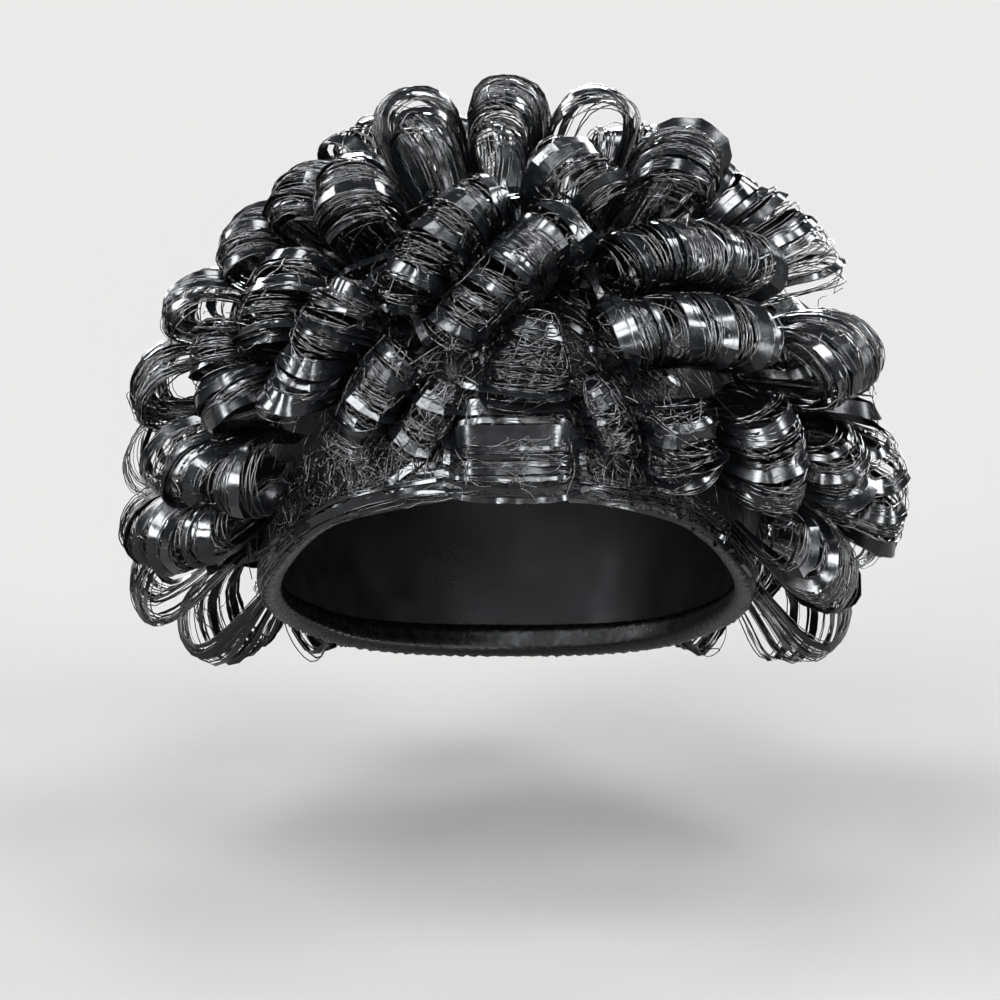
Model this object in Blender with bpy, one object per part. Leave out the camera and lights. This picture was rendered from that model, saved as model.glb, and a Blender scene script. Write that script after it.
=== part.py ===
"""Turban hat: a close stretch cap covered all over in standing curls of mesh ribbon.

Metres, +Z up. The front faces -Y, and the origin is the middle of the cap's hollow. A direction is
an azimuth (0 at the front, positive towards +X, 180 at the back) and an elevation above the
horizontal, both in degrees as seen from the origin.
"""

import math
from collections import namedtuple

import bmesh
import bpy
import numpy as np
from mathutils import Vector

# The cap's outside, as half axes along X, Y and up, and the half axis downwards.
CAP_HALF = (0.084, 0.099, 0.080)
CAP_HALF_DOWN = 0.130
CAP_WALL = 0.002
CAP_COLUMNS = 40
CAP_ROWS = 10

# The outline that the curls fill out, as half axes along X, Y and Z.
RUFFLE_HALF = (0.132, 0.137, 0.131)

# Soft curls lean down: their feet stand this many degrees above their crests at mid height.
SAG = 9.0

# The hem folded round the cap's open edge: its rises outside and inside and its fold in degrees, its
# wall, how much thicker it is at its middle, and its gap to the cap.
HEM_RISE = 6.0
HEM_INNER_RISE = 4.0
HEM_WALL = 0.0013
HEM_FOLD = 0.8
HEM_SWELL = 0.3
SEAM_GAP = 0.0007

# The curls: ribbon wall, clearance of their feet over the faceted cap, and their spacing in degrees.
CURL_WALL = 0.0012
FOOT_GAP = 0.0006
CURL_SPACING = 0.7
END_SPACING = 1.5
TINY = 1e-6

# The usual half width of a curl and the arc from which it counts as long, in degrees, the samples
# along it, how short its feet are beside its crest, the step that its heading is taken over, and
# how many cuts across make it up.
CURL_HALF_WIDTH = 6.9
LONG_CURL = 36.0
CURL_SAMPLES = 25
END_GATHER = 0.74
HEADING_STEP = 0.05
STATIONS = {"short": 4, "long": 5}

# Half of a curl's cross section, from a foot up to the crest: share of width, share of height.
SectionPoint = namedtuple("SectionPoint", "across height")
HALF_SECTION = (
    SectionPoint(0.66, 0.00),
    SectionPoint(0.90, 0.30),
    SectionPoint(1.00, 0.62),
    SectionPoint(0.74, 0.90),
)

# The cap's open edge, the same on both sides.
RimPoint = namedtuple("RimPoint", "azimuth elevation")
RIM_LINE = (
    RimPoint(0, 8.8),
    RimPoint(34, 1.3),
    RimPoint(61, -15.4),
    RimPoint(78, -25.0),
    RimPoint(104, -36.0),
    RimPoint(137, -44.5),
    RimPoint(180, -47.0),
)

# Each curl's crest line by its start, middle and end, then its half width in degrees at the
# start and the end, and how far it reaches from the cap (0) to the outline (1) at both.
Curl = namedtuple(
    "Curl",
    "name start_az start_el mid_az mid_el end_az end_el start_width end_width start_reach end_reach",
)
W = CURL_HALF_WIDTH
CURLS = (
    Curl("crown_top", 180, 75, 0, 89, -6, 69, W, W, 1.00, 1.02),
    Curl("crown_left", -122, 69, -62, 75, -32, 64, W, W, 1.02, 1.06),
    Curl("crown_right", 112, 71, 66, 76, 46, 68, W, W, 1.04, 1.06),
    Curl("crown_front_right", 17, 67, 22, 60, 27, 53, W, W, 0.98, 0.95),
    Curl("upper_right", 98, 60, 68, 60, 46, 52, W, W, 1.04, 1.00),
    Curl("edge_right_high", 80, 49, 81, 40, 83, 31, W, W, 1.04, 1.02),
    Curl("temple_right_high", 22, 42, 39, 43, 60, 37, W, W, 0.85, 1.00),
    Curl("temple_right", 17, 29, 31, 30, 47, 27, W, W, 0.75, 1.00),
    Curl("front_left_long", -3, 56, -14, 48, -21, 35, W, W, 1.00, 0.85),
    Curl("front_centre_long", 14, 50, 2, 43, -11, 29, W, W, 0.95, 0.80),
    Curl("front_bell", 6, 33, 4, 25, 3, 17, 5.4, 9.5, 0.80, 0.50),
    Curl("brow_middle_left", -11, 21, -14, 15, -18, 9, 4.5, 5.2, 0.50, 0.36),
    Curl("brow_middle_right", 15, 22, 18, 15, 20, 8, 4.5, 5.0, 0.50, 0.38),
    Curl("upper_left", -66, 62, -48, 55, -36, 47, W, W, 0.90, 0.92),
    Curl("side_left_high", -99, 56, -81, 53, -66, 47, W, W, 0.85, 0.85),
    Curl("temple_left_high", -54, 42, -50, 34, -46, 25, W, W, 0.80, 0.88),
    Curl("temple_left", -31, 38, -34, 28, -39, 16, W, W, 0.88, 0.80),
    Curl("brow_left", -19, 27, -25, 18, -30, 8, W, W, 0.65, 0.40),
    Curl("edge_left_high", -106, 42, -89, 41, -71, 37, W, W, 0.85, 0.82),
    Curl("edge_left", -96, 28, -84, 28, -72, 25, W, W, 0.90, 0.92),
    Curl("cheek_left_high", -60, 29, -56, 20, -48, 12, W, W, 0.92, 0.75),
    Curl("edge_left_low", -100, 13, -88, 14, -75, 12, W, W, 0.90, 0.92),
    Curl("cheek_left_middle", -68, 6, -56, 3, -43, 3, W, W, 0.95, 0.60),
    Curl("cheek_left_low", -78, -6, -65, -8, -52, -6, W, W, 1.02, 0.65),
    Curl("side_left_loop", -124, 0, -109, 0, -93, -1, W, W, 0.95, 1.02),
    Curl("side_left_middle", -131, 19, -118, 22, -105, 20, W, W, 0.95, 0.95),
    Curl("side_left_low", -133, -13, -121, -14, -110, -13, W, W, 0.92, 0.95),
    Curl("cheek_left_loop", -104, -16, -88, -18, -71, -18, W, W, 1.06, 0.95),
    Curl("jaw_left", -121, -32, -106, -32, -91, -28, W, W, 0.88, 0.88),
    Curl("side_right", 91, 19, 72, 21, 55, 19, W, W, 1.00, 0.95),
    Curl("brow_right", 29, 18, 30, 11, 31, 4, W, W, 0.72, 0.55),
    Curl("cheek_right_front", 43, 17, 46, 8, 47, -1, W, W, 0.88, 0.70),
    Curl("cheek_right", 59, 10, 62, 3, 63, -4, W, W, 0.95, 0.85),
    Curl("edge_right", 76, 7, 79, -3, 80, -11, W, W, 1.02, 0.98),
    Curl("cheek_right_low", 51, -7, 62, -12, 74, -18, W, W, 0.65, 0.85),
    Curl("edge_right_low", 92, -11, 103, -14, 115, -15, W, W, 0.98, 0.95),
    Curl("jaw_right", 87, -25, 101, -30, 116, -34, W, W, 0.90, 0.92),
)

# The hidden back is covered by blocks of side by side curls. A block has its middle, the heading of
# its curls (0 along the azimuth, 90 straight up), how many there are and how long.
Block = namedtuple("Block", "name azimuth elevation heading count length reach")
BACK_BLOCKS = (
    Block("back_high_right", 138, 45, 66, 3, 32, 0.95),
    Block("back_high_left", 215, 45, 6, 3, 42, 0.95),
    Block("back_right", 115, 8, 84, 2, 30, 0.98),
    Block("back_middle", 159, 2, 12, 3, 43, 0.95),
    Block("back_left", 206, 2, 98, 3, 42, 0.95),
    Block("low_right", 139, -27, 0, 1, 32, 0.90),
    Block("low_middle", 177, -30, -2, 1, 30, 0.90),
    Block("low_left", 215, -30, 0, 1, 30, 0.90),
    Block("nape_right", 142, -40, 0, 1, 24, 0.80),
    Block("nape_middle", 179, -43, 0, 1, 24, 0.80),
    Block("nape_left", 217, -41, 0, 1, 25, 0.80),
)

# The curls of a block stand this many degrees apart, and their middles bend aside by so many.
BLOCK_PITCH = 14.4
BLOCK_BEND = 2.5

# The flat brow panel under the bell curl: its edges, its lift off the cap and its creases.
PANEL_SIDES = (-10.0, 12.5)
PANEL_ENDS = (7.6, 21.0)
PANEL_LIFT = (0.0026, 0.0062)
PANEL_CROWN = 0.0030
PANEL_CREASE = 0.0007
PANEL_CREASES = 3
PANEL_WALL = 0.0015
PANEL_COLUMNS = 8
PANEL_ROWS = 7

# Edges that turn by more than this many degrees are shaded as creases.
SHARP_ANGLE = 50.0

# Finishes: colour, roughness and metallic value.
Finish = namedtuple("Finish", "colour roughness metallic")
FINISHES = {
    "mesh_ribbon": Finish((0.012, 0.012, 0.014), 0.22, 0.0),
    "stretch_satin": Finish((0.010, 0.010, 0.012), 0.45, 0.0),
    "hem_knit": Finish((0.014, 0.014, 0.015), 0.60, 0.0),
}


def direction(azimuth, elevation):
    a, e = math.radians(azimuth), math.radians(elevation)
    return Vector((math.sin(a) * math.cos(e), -math.cos(a) * math.cos(e), math.sin(e)))


def angles(d):
    return math.degrees(math.atan2(d.x, -d.y)), math.degrees(math.asin(max(-1.0, min(1.0, d.z))))


def ellipsoid_radius(d, half):
    return 1.0 / math.sqrt(sum((d[i] / half[i]) ** 2 for i in range(3)))


def cap_radius(d, inset=0.0):
    down = CAP_HALF[2] if d.z > 0 else CAP_HALF_DOWN
    return ellipsoid_radius(d, (CAP_HALF[0] - inset, CAP_HALF[1] - inset, down - inset))


def rim_elevation(azimuth):
    """The open edge's elevation, as a smooth curve through the rows of RIM_LINE."""
    a = abs((azimuth + 180.0) % 360.0 - 180.0)
    last = len(RIM_LINE) - 1
    i = max(k for k in range(last) if RIM_LINE[k].azimuth <= a)
    here, after = RIM_LINE[i], RIM_LINE[i + 1]
    span = after.azimuth - here.azimuth

    def slope(k):
        if k in (0, last):
            return 0.0
        rise = RIM_LINE[k + 1].elevation - RIM_LINE[k - 1].elevation
        return rise / (RIM_LINE[k + 1].azimuth - RIM_LINE[k - 1].azimuth)

    t = (a - here.azimuth) / span
    near = (1 + 2 * t) * (1 - t) ** 2 * here.elevation + t * (1 - t) ** 2 * span * slope(i)
    far = t * t * (3 - 2 * t) * after.elevation + t * t * (t - 1) * span * slope(i + 1)
    return near + far


def standing_point(d, height):
    """A point at a share of the way from the cap to the outline, above direction d at the outline."""
    azimuth, elevation = angles(d)
    lifted = direction(azimuth, elevation + SAG * math.cos(math.radians(elevation)) * (1.0 - height))
    foot = cap_radius(lifted) + FOOT_GAP
    return lifted * (foot + height * (ellipsoid_radius(lifted, RUFFLE_HALF) - foot))


def make_object(name, points, faces, finish, parent):
    mesh = bpy.data.meshes.new(name)
    mesh.from_pydata([tuple(p) for p in points], [], faces)
    work = bmesh.new()
    work.from_mesh(mesh)
    bmesh.ops.recalc_face_normals(work, faces=work.faces)
    work.to_mesh(mesh)
    work.free()
    mesh.materials.append(finish)
    mesh.shade_smooth()
    mesh.set_sharp_from_angle(angle=math.radians(SHARP_ANGLE))
    obj = bpy.data.objects.new(name, mesh)
    obj.parent = parent
    bpy.context.scene.collection.objects.link(obj)
    return obj


def grid_faces(rows, columns, first=0, closed=False):
    """Quads between rows of points, each row holding the given number of columns."""
    faces = []
    for r in range(rows - 1):
        for c in range(columns if closed else columns - 1):
            a = first + r * columns + c
            b = first + r * columns + (c + 1) % columns
            faces.append((a, b, b + columns, a + columns))
    return faces


def make_cap(finish, parent):
    """The cap: an outer and an inner skin, joined along the open edge."""
    points, faces = [], []
    skins = []
    for inset in (0.0, CAP_WALL):
        first = len(points)
        skins.append(first)
        for row in range(CAP_ROWS):
            share = 0.0 if row == 0 else (row - 1) / (CAP_ROWS - 1)
            for column in range(CAP_COLUMNS):
                azimuth = 360.0 * column / CAP_COLUMNS
                low = rim_elevation(azimuth)
                start = low if row == 0 else low + HEM_RISE
                d = direction(azimuth, start + (90.0 - start) * share)
                points.append(d * cap_radius(d, inset))
        pole = len(points)
        points.append(Vector((0, 0, CAP_HALF[2] - inset)))
        faces += grid_faces(CAP_ROWS, CAP_COLUMNS, first, closed=True)
        top = first + (CAP_ROWS - 1) * CAP_COLUMNS
        for c in range(CAP_COLUMNS):
            faces.append((top + c, top + (c + 1) % CAP_COLUMNS, pole))
    for c in range(CAP_COLUMNS):
        n = (c + 1) % CAP_COLUMNS
        faces.append((skins[0] + c, skins[0] + n, skins[1] + n, skins[1] + c))
    return make_object("crown_cap", points, faces, finish, parent)


def make_hem(finish, parent):
    """The hem: a folded strip that wraps the cap's open edge, inside and out."""
    near, far = SEAM_GAP, SEAM_GAP + HEM_WALL
    edge = math.degrees(SEAM_GAP / CAP_HALF[0])
    section = (
        (HEM_RISE, near, 0),
        (HEM_RISE, far, 0),
        (HEM_RISE / 2, far + HEM_WALL * HEM_SWELL, 0),
        (0.0, far, 0),
        (-HEM_FOLD, near, 0),
        (-HEM_FOLD, -near, CAP_WALL),
        (0.0, -far, CAP_WALL),
        (HEM_INNER_RISE, -far, CAP_WALL),
        (HEM_INNER_RISE, -near, CAP_WALL),
        (-edge, -near, CAP_WALL),
        (-edge, near, 0),
    )
    points = []
    for column in range(CAP_COLUMNS):
        azimuth = 360.0 * column / CAP_COLUMNS
        low = rim_elevation(azimuth)
        for rise, off, inset in section:
            d = direction(azimuth, low + rise)
            points.append(d * (cap_radius(d, inset) + off))
    n = len(section)
    faces = []
    for c in range(CAP_COLUMNS):
        for k in range(n):
            a, b = c * n, ((c + 1) % CAP_COLUMNS) * n
            faces.append((a + k, a + (k + 1) % n, b + (k + 1) % n, b + k))
    return make_object("rim_band", points, faces, finish, parent)


def make_panel(finish, parent):
    """The brow panel: a slightly crowned sheet with level creases, lying over the hem in front."""
    points = []
    for side in (0.0, PANEL_WALL):
        for row in range(PANEL_ROWS):
            up = row / (PANEL_ROWS - 1)
            for column in range(PANEL_COLUMNS):
                across = column / (PANEL_COLUMNS - 1)
                d = direction(
                    PANEL_SIDES[0] + (PANEL_SIDES[1] - PANEL_SIDES[0]) * across,
                    PANEL_ENDS[0] + (PANEL_ENDS[1] - PANEL_ENDS[0]) * up,
                )
                crown = PANEL_CROWN * math.sin(math.pi * across)
                wave = math.sin(2 * math.pi * PANEL_CREASES * up)
                crease = PANEL_CREASE * wave * math.sin(math.pi * across)
                lift = PANEL_LIFT[0] + (PANEL_LIFT[1] - PANEL_LIFT[0]) * up
                points.append(d * (cap_radius(d) + lift + crown + crease + side))
    count = PANEL_ROWS * PANEL_COLUMNS
    faces = grid_faces(PANEL_ROWS, PANEL_COLUMNS) + grid_faces(PANEL_ROWS, PANEL_COLUMNS, count)
    ring = list(range(PANEL_COLUMNS))
    ring += [r * PANEL_COLUMNS + PANEL_COLUMNS - 1 for r in range(1, PANEL_ROWS)]
    ring += [count - 2 - c for c in range(PANEL_COLUMNS - 1)]
    ring += [r * PANEL_COLUMNS for r in range(PANEL_ROWS - 2, 0, -1)]
    for here, after in zip(ring, ring[1:] + ring[:1]):
        faces.append((here, after, after + count, here + count))
    return make_object("brow_panel", points, faces, finish, parent)


def offset_direction(centre, heading, along, across):
    """The direction reached from centre by going along a heading and across it, in degrees."""
    east = Vector((0, 0, 1)).cross(centre).normalized()
    north = centre.cross(east)
    h = math.radians(heading)
    ahead = east * math.cos(h) + north * math.sin(h)
    aside = north * math.cos(h) - east * math.sin(h)
    step = ahead * math.radians(along) + aside * math.radians(across)
    if step.length == 0:
        return centre.copy()
    return centre * math.cos(step.length) + step.normalized() * math.sin(step.length)


def block_curls():
    """The curls of the back blocks, as rows like those of CURLS."""
    rows = []
    for block in BACK_BLOCKS:
        centre = direction(block.azimuth, block.elevation)
        for k in range(block.count):
            across = (k - (block.count - 1) / 2) * BLOCK_PITCH
            ends = []
            for along, bend in ((-block.length / 2, 0.0), (0.0, BLOCK_BEND), (block.length / 2, 0.0)):
                d = offset_direction(centre, block.heading, along, across + bend)
                ends += angles(d)
            name = block.name if block.count == 1 else f"{block.name}_{k + 1}"
            rows.append(Curl(name, *ends, W, W, block.reach, block.reach))
    return rows


def crest_line(curl, t):
    """The direction of the crest at share t of the curl, on a curve through its three points."""
    start = direction(curl.start_az, curl.start_el)
    middle = direction(curl.mid_az, curl.mid_el)
    end = direction(curl.end_az, curl.end_el)
    line = start * ((1 - t) * (1 - 2 * t)) + middle * (4 * t * (1 - t)) + end * (t * (2 * t - 1))
    return line.normalized()


def blend(low, high, t):
    return low + (high - low) * t


def sampled(curls):
    """Each curl's crest at even samples: its directions, headings, sideways directions and half widths."""
    shares = np.linspace(0.0, 1.0, CURL_SAMPLES)
    lines = np.array([[crest_line(curl, t) for t in shares] for curl in curls])
    ahead = np.gradient(lines, axis=1)
    ahead /= np.linalg.norm(ahead, axis=2, keepdims=True)
    widths = np.array([[blend(curl.start_width, curl.end_width, t) for t in shares] for curl in curls])
    return lines, ahead, np.cross(ahead, lines), widths


def room_for(curls):
    """Half widths in degrees at the samples of each curl, narrowed so that no two curls meet.

    The cut across one curl keeps clear of the cut across another along any of three directions:
    ahead on the one, ahead on the other, or sideways.
    """
    lines, ahead, aside, wanted = sampled(curls)
    widths = wanted.copy()
    for i in range(len(curls)):
        for j in range(len(curls)):
            wide, other = wanted[i][:, None], wanted[j][None]
            step = np.degrees(lines[j][None] - lines[i][:, None])
            near = np.linalg.norm(step, axis=2) < wide + other + CURL_SPACING
            if i == j or not near.any():
                continue
            tilt = np.abs(ahead[i] @ aside[j].T) + TINY
            back_tilt = np.abs(aside[i] @ ahead[j].T) + TINY
            level = np.abs(aside[i] @ aside[j].T)
            along = np.abs(np.einsum("stk,sk->st", step, ahead[i])) - END_SPACING
            back_along = np.abs(np.einsum("stk,tk->st", step, ahead[j])) - END_SPACING
            beside = np.abs(np.einsum("stk,sk->st", step, aside[i])) - CURL_SPACING
            share = np.maximum(along / (other * tilt), back_along / (wide * back_tilt))
            share = np.maximum(share, beside / (wide + other * level))
            share = np.where(near, share, 1.0)
            widths[i] = np.minimum(widths[i], wanted[i] * share.min(axis=1))
    return widths


def station_widths(widths, stations):
    """Half widths at a curl's stations: the least sample within one station's spacing either way."""
    spacing = (CURL_SAMPLES - 1) / (stations - 1)
    places = np.arange(CURL_SAMPLES)
    return [widths[abs(places - k * spacing) <= spacing].min() for k in range(stations)]


def curl_section():
    """The whole cross section from foot to foot, as shares of half width and of height."""
    left = [SectionPoint(-p.across, p.height) for p in HALF_SECTION]
    return left + [SectionPoint(0.0, 1.0)] + list(reversed(HALF_SECTION))


def make_curl(curl, widths, finish, parent):
    """A curl: an arched ribbon shell, open at both ends, gathered at its feet."""
    ends = crest_line(curl, 0.0).angle(crest_line(curl, 1.0))
    stations = STATIONS["long" if math.degrees(ends) > LONG_CURL else "short"]
    at_station = station_widths(widths, stations)
    section = curl_section()
    points = []
    for inner in (False, True):
        for k in range(stations):
            t = k / (stations - 1)
            reach = blend(curl.start_reach, curl.end_reach, t)
            for p in section:
                along = 0.5 + (t - 0.5) * (END_GATHER + (1 - END_GATHER) * p.height)
                width = math.radians(np.interp(along * (stations - 1), range(stations), at_station))
                centre = crest_line(curl, along)
                before = crest_line(curl, max(0.0, along - HEADING_STEP))
                after = crest_line(curl, min(1.0, along + HEADING_STEP))
                aside = (after - before).cross(centre).normalized()
                shrink = squash = 1.0
                if inner:
                    radius = ellipsoid_radius(centre, RUFFLE_HALF)
                    thin = cap_radius(centre)
                    tall = reach * (radius - thin)
                    shrink = 1.0 - CURL_WALL / (width * (thin + tall / 2))
                    squash = 1.0 - CURL_WALL / tall
                turn = p.across * width * shrink
                d = centre * math.cos(turn) + aside * math.sin(turn)
                points.append(standing_point(d, p.height * reach * squash))
    n = len(section)
    count = stations * n
    faces = grid_faces(stations, n) + grid_faces(stations, n, count)
    for c in range(n - 1):
        last = count - n
        faces.append((c, c + 1, c + 1 + count, c + count))
        faces.append((last + c, last + c + 1, last + c + 1 + count, last + c + count))
    for k in range(stations - 1):
        for c in (0, n - 1):
            a, b = k * n + c, (k + 1) * n + c
            faces.append((a, b, b + count, a + count))
    return make_object(f"curl_{curl.name}", points, faces, finish, parent)


def make_finish(name, finish):
    material = bpy.data.materials.new(name)
    material.use_nodes = True
    shader = material.node_tree.nodes["Principled BSDF"]
    shader.inputs["Base Color"].default_value = (*finish.colour, 1.0)
    shader.inputs["Roughness"].default_value = finish.roughness
    shader.inputs["Metallic"].default_value = finish.metallic
    return material


def build():
    for obj in list(bpy.data.objects):
        bpy.data.objects.remove(obj)
    finishes = {name: make_finish(name, finish) for name, finish in FINISHES.items()}
    seat = bpy.data.objects.new("head_seat", None)
    bpy.context.scene.collection.objects.link(seat)
    make_cap(finishes["stretch_satin"], seat)
    make_hem(finishes["hem_knit"], seat)
    make_panel(finishes["mesh_ribbon"], seat)
    curls = list(CURLS) + block_curls()
    for curl, widths in zip(curls, room_for(curls)):
        make_curl(curl, widths, finishes["mesh_ribbon"], seat)


build()
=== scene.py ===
"""The looks of the turban hat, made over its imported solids.

Every standing curl is ribbon woven of flat foil strips and fine threads, bent over into an open
tube and sewn to a knitted satin cap. Metres, +Z up. The front faces -Y, and the origin is the
middle of the cap's hollow. A direction is an azimuth (0 at the front, positive towards +X) and an
elevation, both in degrees as seen from the origin.
"""

import math
from collections import namedtuple

import bpy
import numpy as np
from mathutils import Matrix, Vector


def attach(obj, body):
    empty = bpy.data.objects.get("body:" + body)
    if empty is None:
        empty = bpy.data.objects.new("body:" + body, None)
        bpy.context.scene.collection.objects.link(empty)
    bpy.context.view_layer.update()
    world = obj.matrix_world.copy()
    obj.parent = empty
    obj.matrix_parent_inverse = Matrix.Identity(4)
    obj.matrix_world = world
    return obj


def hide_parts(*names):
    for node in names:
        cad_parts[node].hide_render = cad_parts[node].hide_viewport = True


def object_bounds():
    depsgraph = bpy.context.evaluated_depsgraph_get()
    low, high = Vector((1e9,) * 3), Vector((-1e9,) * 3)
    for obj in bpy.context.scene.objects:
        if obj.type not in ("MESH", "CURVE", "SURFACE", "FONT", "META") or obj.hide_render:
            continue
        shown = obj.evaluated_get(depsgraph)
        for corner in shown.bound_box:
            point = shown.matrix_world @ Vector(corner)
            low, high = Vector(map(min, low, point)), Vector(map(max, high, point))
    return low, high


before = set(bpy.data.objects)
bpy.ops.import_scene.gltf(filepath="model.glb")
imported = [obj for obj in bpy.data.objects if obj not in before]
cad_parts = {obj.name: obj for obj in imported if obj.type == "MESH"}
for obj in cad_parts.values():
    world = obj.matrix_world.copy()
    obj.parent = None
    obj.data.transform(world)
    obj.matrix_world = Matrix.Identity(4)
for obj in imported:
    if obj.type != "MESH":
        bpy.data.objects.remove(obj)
cad_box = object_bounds()

# The cap's outside, as half axes along X, Y and up, and the half axis downwards.
CAP_HALF = (0.084, 0.099, 0.08)
CAP_HALF_DOWN = 0.13
CAP_WALL = 0.002

# The outline that the curls fill out, as half axes along X, Y and Z, and how far their feet stand
# above their crests at mid height, in degrees.
RUFFLE_HALF = (0.132, 0.137, 0.131)
SAG = 9.0

# The hem folded round the cap's open edge: its rises outside and inside and its fold in degrees, its
# wall and its gap to the cap.
HEM_RISE = 6.0
HEM_INNER_RISE = 4.0
HEM_WALL = 0.0013
HEM_FOLD = 0.8
SEAM_GAP = 0.0007

# The curls: clearance of their feet, their spacing and usual half width in degrees, the samples along
# them, how short their feet are beside their crest, and the step that their heading is taken over.
FOOT_GAP = 0.0006
CURL_SPACING = 0.7
END_SPACING = 1.5
TINY = 1e-6
CURL_HALF_WIDTH = 6.9
CURL_SAMPLES = 25
SHARES = np.linspace(0.0, 1.0, CURL_SAMPLES)
END_GATHER = 0.74
HEADING_STEP = 0.05

# Half of a curl's cross section, from a foot up to the crest: share of width, share of height.
SectionPoint = namedtuple("SectionPoint", "across height")
HALF_SECTION = (
    SectionPoint(0.66, 0.00),
    SectionPoint(0.9, 0.3),
    SectionPoint(1.00, 0.62),
    SectionPoint(0.74, 0.9),
)
SECTION_STEPS = 15
SECTION_TALLNESS = 2.6

# The cap's open edge, the same on both sides.
RimPoint = namedtuple("RimPoint", "azimuth elevation")
RIM_LINE = (
    RimPoint(0, 8.8), RimPoint(34, 1.3), RimPoint(61, -15.4), RimPoint(78, -25.0),
    RimPoint(104, -36.0), RimPoint(137, -44.5), RimPoint(180, -47.0),
)

# Each curl's crest line by its start, middle and end, then how far it reaches from the cap (0) to
# the outline (1) at the start and the end, and its half width in degrees at both.
Curl = namedtuple(
    "Curl",
    "name start_az start_el mid_az mid_el end_az end_el start_reach end_reach start_width end_width",
    defaults=(CURL_HALF_WIDTH, CURL_HALF_WIDTH),
)
CURLS = (
    Curl("crown_top", 180, 75, 0, 89, -6, 69, 1.00, 1.02),
    Curl("crown_left", -122, 69, -62, 75, -32, 64, 1.02, 1.06),
    Curl("crown_right", 112, 71, 66, 76, 46, 68, 1.04, 1.06),
    Curl("crown_front_right", 17, 67, 22, 60, 27, 53, 0.98, 0.95),
    Curl("upper_right", 98, 60, 68, 60, 46, 52, 1.04, 1.00),
    Curl("edge_right_high", 80, 49, 81, 40, 83, 31, 1.04, 1.02),
    Curl("temple_right_high", 22, 42, 39, 43, 60, 37, 0.85, 1.00),
    Curl("temple_right", 17, 29, 31, 30, 47, 27, 0.75, 1.00),
    Curl("front_left_long", -3, 56, -14, 48, -21, 35, 1.00, 0.85),
    Curl("front_centre_long", 14, 50, 2, 43, -11, 29, 0.95, 0.8),
    Curl("front_bell", 6, 33, 4, 25, 3, 17, 0.8, 0.5, 5.4, 9.5),
    Curl("brow_middle_left", -11, 21, -14, 15, -18, 9, 0.5, 0.36, 4.5, 5.2),
    Curl("brow_middle_right", 15, 22, 18, 15, 20, 8, 0.5, 0.38, 4.5, 5.0),
    Curl("upper_left", -66, 62, -48, 55, -36, 47, 0.9, 0.92),
    Curl("side_left_high", -99, 56, -81, 53, -66, 47, 0.85, 0.85),
    Curl("temple_left_high", -54, 42, -50, 34, -46, 25, 0.8, 0.88),
    Curl("temple_left", -31, 38, -34, 28, -39, 16, 0.88, 0.8),
    Curl("brow_left", -19, 27, -25, 18, -30, 8, 0.65, 0.4),
    Curl("edge_left_high", -106, 42, -89, 41, -71, 37, 0.85, 0.82),
    Curl("edge_left", -96, 28, -84, 28, -72, 25, 0.9, 0.92),
    Curl("cheek_left_high", -60, 29, -56, 20, -48, 12, 0.92, 0.75),
    Curl("edge_left_low", -100, 13, -88, 14, -75, 12, 0.9, 0.92),
    Curl("cheek_left_middle", -68, 6, -56, 3, -43, 3, 0.95, 0.6),
    Curl("cheek_left_low", -78, -6, -65, -8, -52, -6, 1.02, 0.65),
    Curl("side_left_loop", -124, 0, -109, 0, -93, -1, 0.95, 1.02),
    Curl("side_left_middle", -131, 19, -118, 22, -105, 20, 0.95, 0.95),
    Curl("side_left_low", -133, -13, -121, -14, -110, -13, 0.92, 0.95),
    Curl("cheek_left_loop", -104, -16, -88, -18, -71, -18, 1.06, 0.95),
    Curl("jaw_left", -121, -32, -106, -32, -91, -28, 0.88, 0.88),
    Curl("side_right", 91, 19, 72, 21, 55, 19, 1.00, 0.95),
    Curl("brow_right", 29, 18, 30, 11, 31, 4, 0.72, 0.55),
    Curl("cheek_right_front", 43, 17, 46, 8, 47, -1, 0.88, 0.7),
    Curl("cheek_right", 59, 10, 62, 3, 63, -4, 0.95, 0.85),
    Curl("edge_right", 76, 7, 79, -3, 80, -11, 1.02, 0.98),
    Curl("cheek_right_low", 51, -7, 62, -12, 74, -18, 0.65, 0.85),
    Curl("edge_right_low", 92, -11, 103, -14, 115, -15, 0.98, 0.95),
    Curl("jaw_right", 87, -25, 101, -30, 116, -34, 0.9, 0.92),
)

# Blocks of side by side curls cover the hidden back. A block has its middle, the heading of its
# curls (0 along the azimuth, 90 straight up), their number, length and reach.
Block = namedtuple("Block", "name azimuth elevation heading count length reach")
BACK_BLOCKS = (
    Block("back_high_right", 138, 45, 66, 3, 32, 0.95),
    Block("back_high_left", 215, 45, 6, 3, 42, 0.95),
    Block("back_right", 115, 8, 84, 2, 30, 0.98),
    Block("back_middle", 159, 2, 12, 3, 43, 0.95),
    Block("back_left", 206, 2, 98, 3, 42, 0.95),
    Block("low_right", 139, -27, 0, 1, 32, 0.9),
    Block("low_middle", 177, -30, -2, 1, 30, 0.9),
    Block("low_left", 215, -30, 0, 1, 30, 0.9),
    Block("nape_right", 142, -40, 0, 1, 24, 0.8),
    Block("nape_middle", 179, -43, 0, 1, 24, 0.8),
    Block("nape_left", 217, -41, 0, 1, 25, 0.8),
)
BLOCK_PITCH = 14.4
BLOCK_BEND = 2.5

# The flat brow panel under the bell curl: its edges, its lift off the cap and its bulge.
PANEL_SIDES = (-10.0, 12.5)
PANEL_ENDS = (7.6, 21.0)
PANEL_LIFT = (0.0026, 0.0062)
PANEL_CROWN = 0.003

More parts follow.
